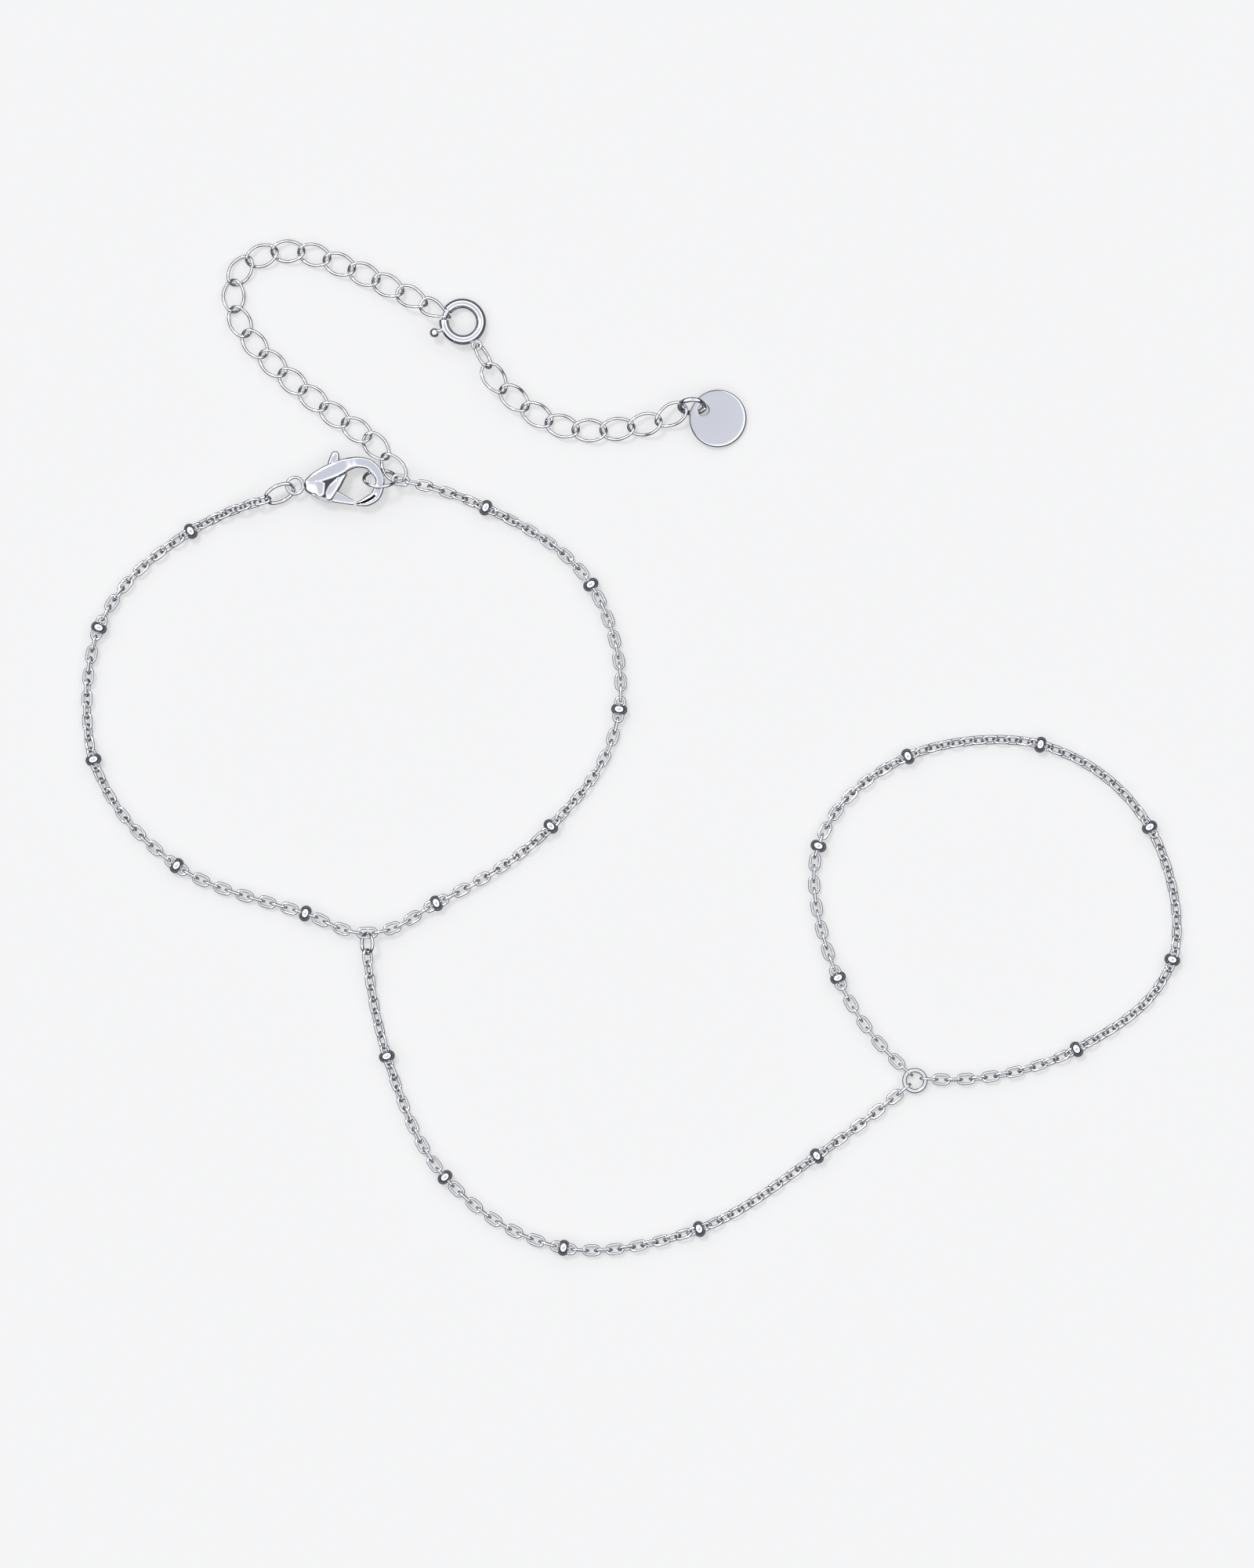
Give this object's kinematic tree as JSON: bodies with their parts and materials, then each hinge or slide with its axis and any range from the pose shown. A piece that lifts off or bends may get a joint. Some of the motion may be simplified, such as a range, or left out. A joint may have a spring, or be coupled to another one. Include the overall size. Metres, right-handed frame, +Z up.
{
  "type": "hand chain bracelet",
  "caption": "Ball-and-cable hand chain: a wrist loop with claw clasp and extender, a hand strand and a finger loop, laid flat.",
  "frame": {"origin": "on the surface the bracelet lies on, under the middle of its outline's box", "axes": "+Z up from the surface; +X along the longer side of the outline, from the wrist loop towards the finger loop; +Y towards the extender"},
  "size_m": [0.115, 0.1062, 0.0032],
  "materials": {
    "chain_silver": "polished rhodium-plated silver wire and balls",
    "clasp_silver": "polished cast rhodium-plated silver",
    "tag_silver": "polished flat plate with a fine bevelled rim"
  },
  "bodies": {
    "bracelet": {"wrist_chain_left": "chain_silver", "wrist_chain_right": "chain_silver", "clasp_jump_ring": "chain_silver", "lobster_body": "clasp_silver", "lobster_pin": "clasp_silver", "end_jump_ring": "chain_silver", "extender_chain_long": "chain_silver", "spring_ring": "clasp_silver", "spring_ring_bail": "chain_silver", "extender_chain_short": "chain_silver", "tag_jump_ring": "chain_silver", "tag_disc": "tag_silver", "junction_ring": "chain_silver", "hand_chain": "chain_silver", "finger_ring": "chain_silver", "finger_chain": "chain_silver", "wrist_ball_left_1": "chain_silver", "wrist_ball_left_2": "chain_silver", "wrist_ball_left_3": "chain_silver", "wrist_ball_left_4": "chain_silver", "wrist_ball_left_5": "chain_silver", "wrist_ball_right_1": "chain_silver", "wrist_ball_right_2": "chain_silver", "wrist_ball_right_3": "chain_silver", "wrist_ball_right_4": "chain_silver", "wrist_ball_right_5": "chain_silver", "hand_ball_1": "chain_silver", "hand_ball_2": "chain_silver", "hand_ball_3": "chain_silver", "hand_ball_4": "chain_silver", "hand_ball_5": "chain_silver", "finger_ball_1": "chain_silver", "finger_ball_2": "chain_silver", "finger_ball_3": "chain_silver", "finger_ball_4": "chain_silver", "finger_ball_5": "chain_silver", "finger_ball_6": "chain_silver", "finger_ball_7": "chain_silver"},
    "lever": {"lobster_lever": "clasp_silver"},
    "bolt": {"spring_ring_bolt": "clasp_silver"}
  },
  "joints": [
    {"name": "lever_hinge", "type": "hinge", "parent": "bracelet", "child": "lever", "pos_m": [-0.03145, 0.02655, 0.0013], "axis": [0, 0, 1], "range_deg": [0, 26], "stiffness_Nm_per_rad": 0.00001, "springref_deg": -28.65},
    {"name": "bolt_slide_round", "type": "hinge", "parent": "bracelet", "child": "bolt", "pos_m": [-0.01764, 0.0445, 0.0009], "axis": [0.122, 0.1533, 0.9806], "range_deg": [0, 34], "stiffness_Nm_per_rad": 0.000005, "springref_deg": -28.65}
  ]
}
